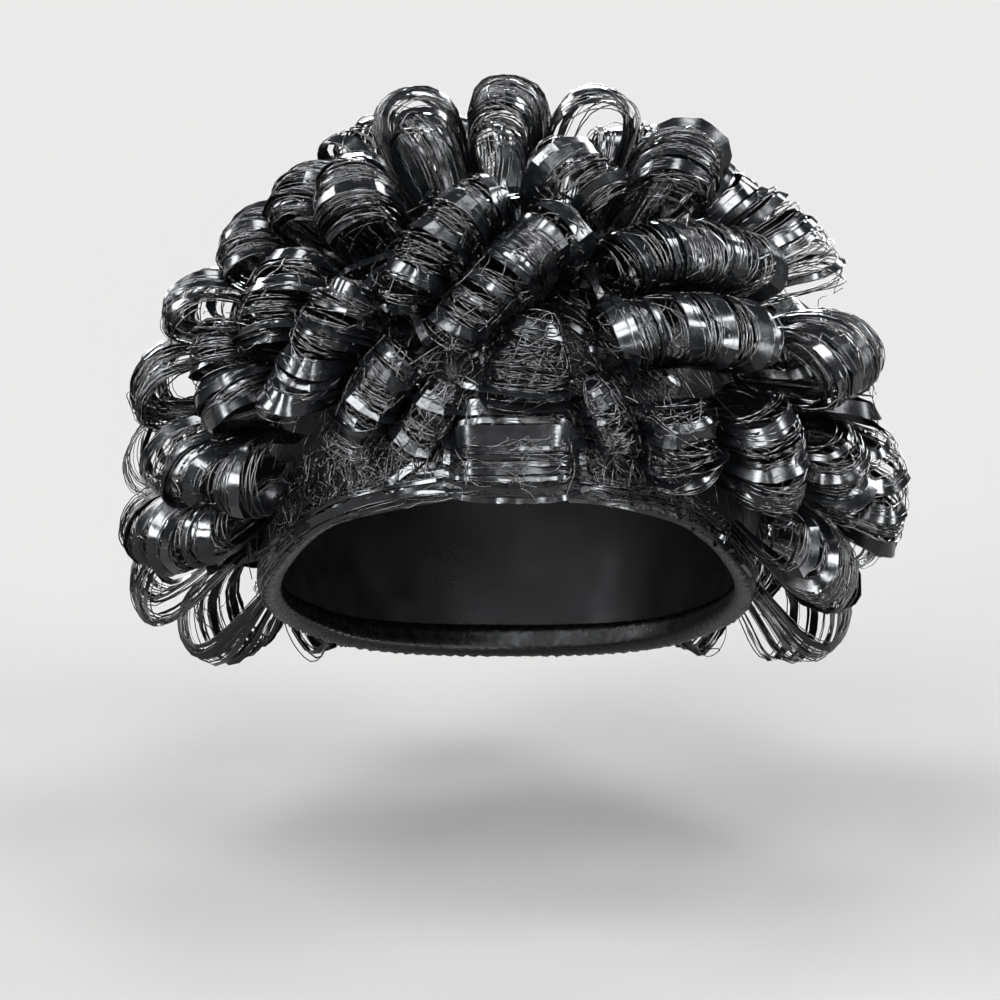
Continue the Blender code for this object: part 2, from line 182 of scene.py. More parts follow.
# The foil strips: spacing along a curl and breadth of the wide and the narrow ones in metres, their
# thickness as a share of their breadth, how high they lie as a share of the curl's height, how
# unevenly the wide ones are spaced, and the shares of the curl that they lie between.
FOIL_PITCH = 0.0125
FOIL_BREADTH = (0.0042, 0.0068)
NARROW_PITCH = 0.0048
NARROW_BREADTH = (0.0012, 0.003)
FOIL_THINNESS = 0.03
FOIL_LIFT = 1.012
NARROW_LIFT = 0.98
FOIL_JITTER = 0.16
FOIL_ENDS = (0.05, 0.96)

# How foil is crinkled: length of its flat facets in metres, how unevenly they tilt, twist and lean,
# how much all of it leans up, what its feet lose in breadth, and the bend that shows as a crease.
FACET_LENGTH = (0.0024, 0.0062)
FACETS = 90
LAST_FACET = 0.985
FACET_TILT = 0.035
STRIP_TWIST = 0.1
STRIP_LEAN = 0.1
STRIP_SLANT = 0.0016
STRIP_STRAY = 0.0005
STRIP_SWAY = 0.008
STRIP_SPREAD = 0.015
UP_LEAN = 0.09
FOOT_NARROWING = 0.55
CRUMPLE = 0.005
CREASE_ANGLE = 0.45

# The threads: spacing along a curl and radius in metres, sides and points, how they crowd at the
# feet, the inner layer's height and gauge, and how they bunch, slant and stray.
THREAD_PITCH = 0.00095
THREAD_RADIUS = 0.00021
THREAD_GAUGES = (0.6, 1.4)
THREAD_SIDES = 3
THREAD_POINTS = 22
THREAD_CROWDING = 1.25
INNER_PITCH = 0.0025
INNER_LIFT = 0.88
INNER_GAUGE = 1.2
BUNCH_PITCH = 0.006
BUNCH_SPREAD = 0.0022
THREAD_SLANT = 0.003
THREAD_STRAY = 0.0011
THREAD_SWAY = 0.014
THREAD_SPREAD = 0.03

# The loose threads: how many a metre of curl has, their points and height, and how they run.
SLACK_PER_METRE = 380
SLACK_POINTS = 22
SLACK_GAUGES = (0.7, 1.1)
SLACK_LIFT = 1.01
SLACK_RUN = (0.012, 0.16)
SLACK_STRAY = (0.0035, 0.035)
SLACK_SWAY = 0.012

# The ends of a curl drop a little, and the hidden curls have fewer and thicker strands.
NORMAL_STEP = 0.004
END_DROP = 0.07
HIDDEN = ("back", "low", "nape")
HIDDEN_SHARE = 0.55
HIDDEN_GAUGE = 1.3
SHEER_BREADTH = 0.6
NAPE_TUCK = 0.88

# Curls whose ribbon is so open that light shows through, with their share of threads.
SHEER = dict(
    crown_left=0.3, crown_right=0.3, edge_left=0.55, edge_right_high=0.8, edge_right_low=0.5,
    side_left_loop=0.3, side_left_middle=0.4, side_left_low=0.45, cheek_left_loop=0.4,
    jaw_left=0.5, jaw_right=0.55,
)

# What is not as on the other curls: where wide foil lies along a curl and its breadth, how much more
# the lower foil leans up, and the share of loose threads.
FOIL_PLACES = {
    "front_bell": ((0.15, 0.0052), (0.36, 0.0022), (0.52, 0.002), (0.8, 0.0064), (0.97, 0.003)),
}
LOWER_LEANS = {"front_bell": 0.37}
LOOSER = {"front_bell": 3.2, "brow_middle_left": 2.5, "brow_middle_right": 2.5, "brow_left": 1.6}

# The cap, its hem and the hem's stitches: columns and rows of their skins, and the size of folds,
# puckers and stitches in metres, the stitches' slant in degrees and where they lie up the hem.
CAP_COLUMNS = 160
CAP_ROWS = 34
CAP_FOLD = 0.0011
LINING_FOLD = 0.25
LINING_SINK = 0.0004
SATIN_SINK = 0.0002
CALM_HEM = 0.8
CALM_TOP = 6.0
METRES_A_DEGREE = 0.0017
HEM_COLUMNS = 640
HEM_PROFILE = ((1, 0.8), (0.82, 1.02), (0.66, 1.2), (0.58, 1.16), (0.52, 0.72), (0.46, 1.16), (0.2, 1.18))
HEM_PUCKER = 0.00085
HEM_INNER_CALM = 0.45
STITCH_PITCH = 0.003
STITCH_LENGTH = 0.0034
STITCH_ARCH = 0.0009
STITCH_RADIUS = 0.00022
STITCH_SLANT = 28.0
STITCH_RISE = 0.86
STITCH_SIDES = 5
STITCH_BENDS = 6

# The brow panel's weave: points along its strands, how their ends draw together, how flat its middle
# is, how far the ends of its strips turn aside in degrees, and how much they turn up, in degrees for
# each metre of breadth. A strip has its share of the panel's height, its breadth, its lift off the
# panel, the elevation that it faces and how unevenly it tilts.
Strip = namedtuple("Strip", "up breadth lift facing tilt")
PANEL_POINTS = 22
PANEL_MARGIN = 0.06
PANEL_GATHER = 0.16
PANEL_FLAT = 0.005
PANEL_TURN = (24.0, 46.0)
PANEL_END_RISE = 3300.0
PANEL_STRIPS = (
    Strip(0.8, 0.0066, 0.0024, 1, 0.03),
    Strip(1.16, 0.005, 0.002, 24, 0.08),
    Strip(0.98, 0.0016, 0.0018, 16, 0.1),
    Strip(0.62, 0.0012, 0.0018, 10, 0.16),
    Strip(0.53, 0.0016, 0.0016, -4, 0.14),
    Strip(0.44, 0.0012, 0.0016, 10, 0.16),
    Strip(0.35, 0.0016, 0.0016, 0, 0.14),
    Strip(0.26, 0.0012, 0.0016, 8, 0.16),
    Strip(0.15, 0.0013, 0.0018, 0, 0.06),
    Strip(0.00, 0.0017, 0.002, 4, 0.05),
)

# How the panel's strips and threads wave and stray and how uneven their lift is, the heights that
# threads cover, their layers by number and lift, and how its loose threads run across and up.
STRIP_WAVE = (0.012, 0.004)
THREAD_WAVE = (0.014, 0.02)
UNEVEN_LIFT = (0.00015, 0.0003)
THREADED = (0.24, 1.25)
PANEL_LAYERS = ((46, 0.0003), (40, 0.0014))
PANEL_GAUGES = (0.7, 1.4)
PANEL_SLACK = 40
PANEL_SLACK_LIFT = 0.0022
SLACK_ACROSS = ((0.0, 1.0), 0.35, 0.05)
SLACK_UP = ((0.15, 1.2), 0.3, 0.05)

# Matted strands over the cap: the azimuths and the rises from the open edge that they cover, how many
# there are, how far they run, climb and stray in degrees, their lift in metres, and the share of strips.
# Where their far lift is over ARCHED_FROM, they are loops that stand between the curls.
ARCHED_FROM = 0.02
MAT_POINTS = 16
MAT_GAUGES = (0.7, 1.3)
MAT_MARGINS = (1.5, 3.0)
MAT_SWAY = 0.0008
MAT_TILT = 0.12
MAT_BREADTH = (0.001, 0.0024)
ARCHED_BREADTH = (0.002, 0.0046)
Mat = namedtuple("Mat", "start end low high count run climb stray near far strips")
MATS = (
    Mat(0, 360, 6, 60, 300, 16, 16, 3.0, 0.0008, 0.006, 0.08),
    Mat(0, 360, 60, 130, 80, 40, 16, 3.0, 0.0008, 0.006, 0.08),
    Mat(-34, 38, 12, 40, 230, 12, 12, 3.0, 0.001, 0.011, 0.1),
    Mat(84, 114, 20, 76, 150, 12, 16, 2.5, 0.001, 0.03, 0.35),
    Mat(240, 268, 30, 74, 150, 12, 16, 2.5, 0.001, 0.03, 0.35),
    Mat(264, 286, 14, 30, 50, 10, 8, 2.0, 0.001, 0.026, 0.35),
    Mat(168, 194, 62, 112, 160, 14, 18, 2.5, 0.001, 0.032, 0.35),
    Mat(178, 190, 24, 70, 60, 6, 14, 1.5, 0.001, 0.026, 0.3),
    Mat(-46, 44, 44, 68, 170, 18, 12, 2.5, 0.001, 0.028, 0.4),
    Mat(-44, -22, 30, 48, 50, 8, 12, 2.0, 0.001, 0.026, 0.35),
    Mat(116, 160, 64, 82, 110, 12, 10, 2.5, 0.001, 0.03, 0.4),
    Mat(-46, -10, 5, 14, 170, 9, 6, 2.0, 0.0026, 0.007, 0.05),
    Mat(13, 34, 4, 14, 80, 8, 6, 2.0, 0.0026, 0.006, 0.05),
    Mat(-56, -12, -0.3, 4.6, 54, 34, 1.6, 0.6, 0.003, 0.0052, 0.2),
    Mat(13, 50, -0.3, 4.2, 36, 24, 1.6, 0.6, 0.003, 0.0048, 0.2),
)

# The finishes: their gloss setting and its value, the scale of their colour and its darkest and palest
# shade, the scale of their roughness and its least and most, their grain (a knit's ribs and crossing
# ribs, or a noise's scale and detail), and its strength and depth in metres.
Finish = namedtuple(
    "Finish",
    "name gloss value tint_scale dark pale rough_scale smooth rough knitted grain strength distance",
)
FOIL = Finish(
    "charcoal_foil", "IOR", 1.39, 120.0, (0.0007, 0.0008, 0.001), (0.0018, 0.002, 0.0024),
    160.0, 0.12, 0.25, False, (260.0, 2.0), 0.25, 0.0003,
)
THREAD = Finish(
    "black_thread", "IOR", 1.49, 300.0, (0.0003, 0.0003, 0.0004), (0.001, 0.001, 0.0012),
    400.0, 0.11, 0.25, False, (1400.0, 1.0), 0.4, 0.00012,
)
SATIN = Finish(
    "knitted_satin", "Specular IOR Level", 0.18, 60.0, (0.0004, 0.0004, 0.0005), (0.0013, 0.0013, 0.0016),
    90.0, 0.38, 0.54, True, (700.0, 520.0), 0.45, 0.0002,
)
HEM = Finish(
    "puckered_hem", "Specular IOR Level", 0.24, 200.0, (0.0004, 0.0004, 0.0005), (0.0014, 0.0014, 0.0017),
    300.0, 0.2, 0.36, True, (620.0, 520.0), 0.6, 0.0003,
)
CROSSING_SHARE = 0.15
SHADE_STOPS = (0.32, 0.68)

# The camera that matches the photograph, and the pale stage.
CAMERA_LENS = 118.2
CAMERA_DISTANCE = 1.1
CAMERA_ELEVATION = 12.0
CAMERA_SHIFT = (-0.008, -0.026)
SENSOR_WIDTH = 36.0
FLOOR_SIZE = 30.0
FLOOR_DROP = 0.055
FLOOR_COLOUR = (0.0985, 0.0944, 0.0911, 1)
ROOM_COLOUR = (0.93, 0.95, 1.0, 1)
ROOM_STRENGTH = 0.06

# Soft studio lights, by where they stand, how broad they look in degrees and how strong they are.
Light = namedtuple("Light", "name azimuth elevation spread strength")
LIGHT_COLOUR = (0.94, 0.97, 1.0)
LIGHT_DISTANCE = 2.0
LIGHTS = (
    Light("key_lowest", -33, 7, 15, 2.565),
    Light("key_low", -36, 23, 16, 3.24),
    Light("key_middle", -32, 42, 18, 4.05),
    Light("key_high", -36, 62, 18, 3.24),
    Light("left_low", -78, 14, 16, 2.7),
    Light("left_middle", -84, 34, 16, 2.7),
    Light("left_high", -80, 55, 18, 2.7),
    Light("front_low", 9, 7, 12, 1.755),
    Light("front_middle", 6, 27, 14, 2.565),
    Light("front_high", 6, 52, 14, 2.295),
    Light("right_lowest", 45, 6, 14, 2.295),
    Light("right_low", 48, 21, 15, 2.835),
    Light("right_middle", 46, 40, 17, 3.375),
    Light("right_high", 54, 62, 17, 2.97),
    Light("side_right", 92, 16, 16, 2.565),
    Light("side_right_high", 98, 38, 17, 2.43),
    Light("back_right", 140, 30, 17, 2.295),
    Light("back_low", 180, 12, 15, 2.16),
    Light("back_left", 220, 30, 17, 2.295),
    Light("top_light", 170, 76, 20, 2.43),
)


def direction(azimuth, elevation):
    """Unit vectors towards an azimuth and an elevation."""
    a, e = np.broadcast_arrays(np.radians(azimuth), np.radians(elevation))
    return np.stack([np.sin(a) * np.cos(e), -np.cos(a) * np.cos(e), np.sin(e)], axis=-1)


def angles(d):
    return np.degrees(np.arctan2(d[..., 0], -d[..., 1])), np.degrees(np.arcsin(np.clip(d[..., 2], -1, 1)))


def unit(v):
    return v / np.maximum(np.linalg.norm(v, axis=-1, keepdims=True), TINY)


def ellipsoid_radius(d, half):
    return 1.0 / np.sqrt(((d / half) ** 2).sum(axis=-1))


def cap_radius(d, inset=0.0):
    half = np.empty(d.shape)
    half[...] = np.array(CAP_HALF) - np.asarray(inset)[..., None]
    half[..., 2] = np.where(d[..., 2] > 0, CAP_HALF[2], CAP_HALF_DOWN) - inset
    return ellipsoid_radius(d, half)


def smooth_between(t, start, end, start_slope, end_slope, span=1.0):
    """Values from start to end by shares t, with given slopes at both."""
    near = (1 + 2 * t) * (1 - t) ** 2 * start + t * (1 - t) ** 2 * span * start_slope
    return near + (t * t * (3 - 2 * t) * end + t * t * (t - 1) * span * end_slope)


def rim_elevation(azimuth):
    """The open edge's elevation, as a smooth curve through the rows of RIM_LINE."""
    a = np.abs((np.asarray(azimuth, float) + 180.0) % 360.0 - 180.0)
    at = np.array([p.azimuth for p in RIM_LINE], float)
    level = np.array([p.elevation for p in RIM_LINE], float)
    slope = np.zeros(len(at))
    slope[1:-1] = (level[2:] - level[:-2]) / (at[2:] - at[:-2])
    i = np.clip(np.searchsorted(at, a, side="right") - 1, 0, len(at) - 2)
    span = at[i + 1] - at[i]
    t = (a - at[i]) / span
    return smooth_between(t, level[i], level[i + 1], slope[i], slope[i + 1], span)


def standing_points(d, height):
    """Points at a share of the way from the cap to the outline, above direction d at the outline."""
    azimuth, elevation = angles(d)
    lifted = direction(azimuth, elevation + SAG * np.cos(np.radians(elevation)) * (1.0 - height))
    foot = cap_radius(lifted) + FOOT_GAP
    return lifted * (foot + height * (ellipsoid_radius(lifted, RUFFLE_HALF) - foot))[..., None]


def offset_direction(centre, heading, along, across):
    """The direction reached from centre by going along a heading and across it, in degrees."""
    east = unit(np.cross((0.0, 0.0, 1.0), centre))
    north = np.cross(centre, east)
    h = math.radians(heading)
    ahead = east * math.cos(h) + north * math.sin(h)
    aside = north * math.cos(h) - east * math.sin(h)
    step = ahead * math.radians(along) + aside * math.radians(across)
    length = np.linalg.norm(step)
    return centre * math.cos(length) + unit(step) * math.sin(length)


def block_curls():
    """The curls of the back blocks, as rows like those of CURLS."""
    rows = []
    for block in BACK_BLOCKS:
        centre = direction(block.azimuth, block.elevation)
        for k in range(block.count):
            across = (k - (block.count - 1) / 2) * BLOCK_PITCH
            ends = []
            for along, bend in ((-0.5, 0.0), (0.0, BLOCK_BEND), (0.5, 0.0)):
                d = offset_direction(centre, block.heading, along * block.length, across + bend)
                ends += [float(x) for x in angles(d)]
            name = block.name if block.count == 1 else f"{block.name}_{k + 1}"
            rows.append(Curl(name, *ends, block.reach, block.reach))
    return rows


def crest_line(curl, t):
    """Directions of the crest at shares t of the curl, on a curve through its three points."""
    start = direction(curl.start_az, curl.start_el)
    middle = direction(curl.mid_az, curl.mid_el)
    end = direction(curl.end_az, curl.end_el)
    t = np.asarray(t, float)[..., None]
    return unit(start * ((1 - t) * (1 - 2 * t)) + middle * (4 * t * (1 - t)) + end * (t * (2 * t - 1)))


def room_for(curls):
    """Half widths in degrees along each curl, narrowed so that no two curls meet."""
    lines = np.array([crest_line(curl, SHARES) for curl in curls])
    ahead = unit(np.gradient(lines, axis=1))
    aside = np.cross(ahead, lines)
    wanted = np.array([np.interp(SHARES, (0, 1), (c.start_width, c.end_width)) for c in curls])
    widths = wanted.copy()
    for i in range(len(curls)):
        for j in range(len(curls)):
            wide, other = wanted[i][:, None], wanted[j][None]
            step = np.degrees(lines[j][None] - lines[i][:, None])
            near = np.linalg.norm(step, axis=2) < wide + other + CURL_SPACING
            if i == j or not near.any():
                continue
            tilt = np.abs(ahead[i] @ aside[j].T) + TINY
            back_tilt = np.abs(aside[i] @ ahead[j].T) + TINY
            level = np.abs(aside[i] @ aside[j].T)
            along = np.abs(np.einsum("stk,sk->st", step, ahead[i])) - END_SPACING
            back_along = np.abs(np.einsum("stk,tk->st", step, ahead[j])) - END_SPACING
            beside = np.abs(np.einsum("stk,sk->st", step, aside[i])) - CURL_SPACING
            share = np.maximum(along / (other * tilt), back_along / (wide * back_tilt))
            share = np.maximum(share, beside / (wide + other * level))
            share = np.where(near, share, 1.0)
            widths[i] = np.minimum(widths[i], wanted[i] * share.min(axis=1))
    return widths


def section_table():
    """The cross section from foot to foot as a smooth line: shares of its length, across, height."""
    left = [(-p.across, p.height) for p in HALF_SECTION]
    knots = np.array(left + [(0.0, 1.0)] + [(p.across, p.height) for p in reversed(HALF_SECTION)])
    before = np.vstack([2 * knots[0] - knots[1], knots[:-1]])
    after = np.vstack([knots[1:], 2 * knots[-1] - knots[-2]])
    slopes = (after - before) / 2
    rows = []
    for k in range(len(knots) - 1):
        t = np.linspace(0.0, 1.0, SECTION_STEPS, endpoint=False)[:, None]
        rows.append(smooth_between(t, knots[k], knots[k + 1], slopes[k], slopes[k + 1]))
    line = np.vstack(rows + [knots[-1:]])
    steps = np.linalg.norm(np.diff(line * (1.0, SECTION_TALLNESS), axis=0), axis=1)
    run = np.concatenate([[0.0], np.cumsum(steps)])
    return run / run[-1], line[:, 0], line[:, 1]


SECTION_RUN, SECTION_ACROSS, SECTION_HEIGHT = section_table()


def on_curl(curl, widths, t, s, lift=1.0, spread=1.0):
    """Points on a curl. t runs along its crest and s goes from one foot over the crest to the other."""
    across = np.interp(s, SECTION_RUN, SECTION_ACROSS)
    height = np.interp(s, SECTION_RUN, SECTION_HEIGHT)
    reach = curl.start_reach + (curl.end_reach - curl.start_reach) * np.clip(t, 0.0, 1.0)
    fall = np.abs(2 * np.clip(t, 0.0, 1.0) - 1) ** 3
    reach = reach * (1.0 - END_DROP * fall)
    along = 0.5 + (t - 0.5) * (END_GATHER + (1 - END_GATHER) * height)
    width = np.radians(np.interp(along, SHARES, widths)) * spread * (1.0 - END_DROP * fall)
    centre = crest_line(curl, along)
    near, far = np.maximum(along - HEADING_STEP, 0.0), np.minimum(along + HEADING_STEP, 1.0)
    aside = unit(np.cross(crest_line(curl, far) - crest_line(curl, near), centre))
    turn = (across * width)[..., None]
    return standing_points(centre * np.cos(turn) + aside * np.sin(turn), height * reach * lift)


def outward(curl, widths, t, s):
    """Unit vectors that point straight out of a curl's surface."""

    def change(dt, ds):
        return on_curl(curl, widths, t + dt, s + ds) - on_curl(curl, widths, t - dt, s - ds)

    return unit(np.cross(change(0.0, NORMAL_STEP), change(NORMAL_STEP, 0.0)))


def keep(mesh, title, values):
    """Keeps a number or a vector for each point of a mesh."""
    kind, field = ("FLOAT", "value") if values.ndim == 1 else ("FLOAT_VECTOR", "vector")
    layer = mesh.attributes.new(title, kind, "POINT")
    layer.data.foreach_set(field, values.astype(np.float32).ravel())


class Guides:
    """The lines that strands are swept along, with the breadth of a strip or the gauge of a thread."""

    def __init__(self):
        self.points, self.edges, self.normals, self.breadths, self.gauges = [], [], [], [], []
        self.count = 0

    def add(self, lines, normals=None, breadth=0.0, gauge=0.0):
        """Adds rows of points. breadth and gauge are one value, or one for each row."""
        rows, length = lines.shape[:2]
        first = self.count + np.arange(rows * length).reshape(rows, length)
        self.points.append(lines.reshape(-1, 3))
        self.edges.append(np.stack([first[:, :-1].ravel(), first[:, 1:].ravel()], axis=1))
        self.normals.append(np.zeros((rows * length, 3)) if normals is None else normals.reshape(-1, 3))
        for kept, value in ((self.breadths, breadth), (self.gauges, gauge)):
            value = np.asarray(value, float)
            value = value[:, None] if value.ndim == 1 else value
            kept.append(np.broadcast_to(value, (rows, length)).ravel())
        self.count += rows * length

    def mesh(self, name):
        mesh = bpy.data.meshes.new(name)
        points, edges = np.concatenate(self.points), np.concatenate(self.edges)
        mesh.vertices.add(len(points))
        mesh.vertices.foreach_set("co", points.astype(np.float32).ravel())
        mesh.edges.add(len(edges))
        mesh.edges.foreach_set("vertices", edges.astype(np.int32).ravel())
        keep(mesh, "facing", np.concatenate(self.normals))
        keep(mesh, "breadth", np.concatenate(self.breadths))
        keep(mesh, "gauge", np.concatenate(self.gauges))
        mesh.update()
        return mesh


def added(name, data):
    """A new object in the scene."""
    made = bpy.data.objects.new(name, data)
    bpy.context.scene.collection.objects.link(made)
    return made


def add_node(tree, kind, inputs=None, **settings):
    """Adds a node and gives its outputs. Each input is set to a value or joined to an output."""
    made = tree.nodes.new(kind)
    for title, value in settings.items():
        setattr(made, title, value)
    for title, value in (inputs or {}).items():
        if isinstance(value, bpy.types.NodeSocket):
            tree.links.new(value, made.inputs[title])
        else:
            made.inputs[title].default_value = value
    return made.outputs


def new_tree(name, inputs, output):
    """A tree with its named inputs, and the sockets at its two ends."""
    tree = bpy.data.node_groups.new(name, "GeometryNodeTree")
    tree.is_modifier = True
    for title, kind in inputs:
        tree.interface.new_socket(title, in_out="INPUT", socket_type=f"NodeSocket{kind}")
    tree.interface.new_socket(output, in_out="OUTPUT", socket_type="NodeSocketGeometry")
    return tree, add_node(tree, "NodeGroupInput"), tree.nodes.new("NodeGroupOutput").inputs[output]


def value_of(tree, title, kind="FLOAT"):
    """Reads an attribute of the guide lines."""
    read = add_node(tree, "GeometryNodeInputNamedAttribute", {"Name": title}, data_type=kind)
    return read["Attribute"]


def over(tree, value, limit):
    """Whether a value is over a limit."""
    operands = {"A": value, "B": limit}
    return add_node(tree, "FunctionNodeCompare", operands, operation="GREATER_THAN")["Result"]


def weave_tree():
    """Sweeps a flat strip or a round thread along every guide line, by its breadth or gauge."""
    inputs = [("Guides", "Geometry"), ("Thread Sides", "Int"), ("Foil Thinness", "Float")]
    inputs += [("Crease Angle", "Float"), ("Foil", "Material"), ("Thread", "Material")]
    tree, given, made = new_tree("ribbon_weave", inputs, "Weave")
    lines = {"Geometry": given["Guides"], "Selection": over(tree, value_of(tree, "breadth"), 0.0)}
    parted = add_node(tree, "GeometryNodeSeparateGeometry", lines, domain="POINT")
    flat = {"Height": 1.0, "Width": given["Foil Thinness"]}
    flat = add_node(tree, "GeometryNodeCurvePrimitiveQuadrilateral", flat)["Curve"]
    circle = {"Radius": 1.0, "Resolution": given["Thread Sides"]}
    circle = add_node(tree, "GeometryNodeCurvePrimitiveCircle", circle)["Curve"]
    joined = tree.nodes.new("GeometryNodeJoinGeometry")
    for part, profile, size, finish, smooth in (
        ("Inverted", circle, "gauge", "Thread", True),
        ("Selection", flat, "breadth", "Foil", False),
    ):
        line = {"Curve": add_node(tree, "GeometryNodeMeshToCurve", {"Mesh": parted[part]})["Curve"]}
        if not smooth:
            line["Normal"] = value_of(tree, "facing", "FLOAT_VECTOR")
        aim = "MINIMUM_TWIST" if smooth else "FREE"
        strand = {"Curve": add_node(tree, "GeometryNodeSetCurveNormal", line, mode=aim)["Curve"]}
        strand.update({"Profile Curve": profile, "Scale": value_of(tree, size)})
        strand["Fill Caps"] = not smooth
        strand = add_node(tree, "GeometryNodeCurveToMesh", strand)["Mesh"]
        strand = add_node(tree, "GeometryNodeSetShadeSmooth", {"Geometry": strand})["Geometry"]
        if not smooth:
            bend = add_node(tree, "GeometryNodeInputMeshEdgeAngle")["Unsigned Angle"]
            creased = {"Geometry": strand, "Selection": over(tree, bend, given["Crease Angle"])}
            creased["Shade Smooth"] = False
            strand = add_node(tree, "GeometryNodeSetShadeSmooth", creased, domain="EDGE")["Geometry"]
        painted = {"Geometry": strand, "Material": given[finish]}
        painted = add_node(tree, "GeometryNodeSetMaterial", painted)["Geometry"]
        tree.links.new(painted, joined.inputs["Geometry"])
    real = {"Geometry": joined.outputs["Geometry"]}
    tree.links.new(add_node(tree, "GeometryNodeRealizeInstances", real)["Geometry"], made)
    return tree


def grown(name, mesh, tree, settings):
    """The plain mesh that a tree makes of guide lines, as a new object."""
    carrier = added(name, mesh)
    modifier = carrier.modifiers.new("grow", "NODES")
    modifier.node_group = tree
    for item in tree.interface.items_tree:
        if item.in_out == "INPUT" and item.name in settings:
            modifier[item.identifier] = settings[item.name]
    carrier.update_tag()
    graph = bpy.context.evaluated_depsgraph_get()
    result = bpy.data.meshes.new_from_object(carrier.evaluated_get(graph), depsgraph=graph)
    carrier.modifiers.clear()
    carrier.data = result
    result.name = name
    return carrier


def wander(rng, rows, places, size, waves=3):
    """Smooth random offsets for rows of points at places from 0 to 1."""
    total = np.zeros((rows, len(places)))
    for wave in range(1, waves + 1):
        phase = rng.uniform(0, 2 * math.pi, (rows, 1))
        total += rng.normal(0, size / wave, (rows, 1)) * np.sin(wave * math.pi * places[None] + phase)
    return total


def drift(rng, rows, places, start, run, stray):
    """Rows of values that set out from a random start, run on and stray from their way."""
    line = rng.uniform(*start, (rows, 1)) + rng.normal(0, run, (rows, 1)) * (places[None] - 0.5)
    return line + wander(rng, rows, places, stray, 5)


def run_of(curl, widths):
    """Lengths in metres: along the crest, and round the section."""
    t, s = np.linspace(0.0, 1.0, 12), np.linspace(0.0, 1.0, 24)
    crest = on_curl(curl, widths, t, np.full(len(t), 0.5))
    section = on_curl(curl, widths, np.full(len(s), 0.5), s)
    return [float(np.linalg.norm(np.diff(line, axis=0), axis=1).sum()) for line in (crest, section)]


def add_strips(guides, curl, widths, rng, places, breadths, length, girth, lift):
    """Foil strips bent over a curl, lightly crumpled and creased."""
    for t, breadth in zip(places, breadths):
        s = np.concatenate([[0.0], np.cumsum(rng.uniform(*FACET_LENGTH, FACETS)) / girth])
        s = np.append(s[s < LAST_FACET], 1.0)
        narrowed = 1.0 - FOOT_NARROWING * np.abs(2 * s - 1) ** 4
        slant = rng.normal(0, STRIP_SLANT) / length
        along = t + slant * (s - 0.5) * 2 + wander(rng, 1, s, STRIP_STRAY / length)[0]
        sway = rng.normal(0, CRUMPLE, len(s)) + wander(rng, 1, s, STRIP_SWAY)[0]
        risen = lift * (1.0 + sway * np.sin(math.pi * s))
        spread = 1.0 + wander(rng, 1, s, STRIP_SPREAD)[0]
        line = on_curl(curl, widths, along, s, risen, spread)
        facing = outward(curl, widths, along, s)
        ahead = unit(on_curl(curl, widths, along + NORMAL_STEP, s) - on_curl(curl, widths, along, s))
        twist = wander(rng, 1, s, STRIP_TWIST)[0] + rng.normal(0, FACET_TILT, len(s))
        twist = twist + rng.normal(0, STRIP_LEAN)
        lean = UP_LEAN + LOWER_LEANS.get(curl.name, 0.0) * t**2
        normals = unit(facing + ahead * twist[:, None] + (0.0, 0.0, lean))
        guides.add(line[None], normals[None], breadth=breadth * narrowed[None])


def add_threads(guides, curl, widths, rng, pitch, length, lift, gauge):
    """Fine threads round a curl, bunched and slack."""
    rows = max(4, int(length / pitch))
    even = np.linspace(-1.0, 1.0, THREAD_POINTS)
    s = 0.5 + 0.5 * np.sign(even) * np.abs(even) ** THREAD_CROWDING
    bunches = rng.uniform(0.0, 1.0, max(3, int(length / BUNCH_PITCH)))
    t = rng.choice(bunches, rows) + rng.normal(0, BUNCH_SPREAD / length, rows)
    t = np.where(rng.random(rows) < 0.5, rng.uniform(0.0, 1.0, rows), np.clip(t, 0.0, 1.0))
    slant = rng.normal(0, THREAD_SLANT / length, (rows, 1)) * (s[None] - 0.5) * 2
    along = t[:, None] + slant + wander(rng, rows, s, THREAD_STRAY / length, 5)
    risen = lift * (1.0 + wander(rng, rows, s, THREAD_SWAY, 4)) + rng.normal(0, THREAD_SWAY, (rows, 1))
    spread = 1.0 + wander(rng, rows, s, THREAD_SPREAD, 4)
    lines = on_curl(curl, widths, along, s, risen, spread)
    guides.add(lines, gauge=gauge * rng.uniform(*THREAD_GAUGES, rows))


def add_slack(guides, curl, widths, rng, length, share, lift):
    """Loose threads that wander over a curl and cross its strands."""
    rows = int(length * SLACK_PER_METRE * share)
    places = np.linspace(0.0, 1.0, SLACK_POINTS)
    t = drift(rng, rows, places, (0.0, 1.0), 2 * SLACK_RUN[0] / length, SLACK_STRAY[0] / length)
    s = drift(rng, rows, places, (0.2, 0.8), 2 * SLACK_RUN[1], SLACK_STRAY[1])
    t, s = np.clip(t, -0.02, 1.02), np.clip(s, 0.0, 1.0)
    risen = lift + wander(rng, rows, places, SLACK_SWAY, 4)
    lines = on_curl(curl, widths, t, s, risen)
    guides.add(lines, gauge=THREAD_RADIUS * rng.uniform(*SLACK_GAUGES, rows))


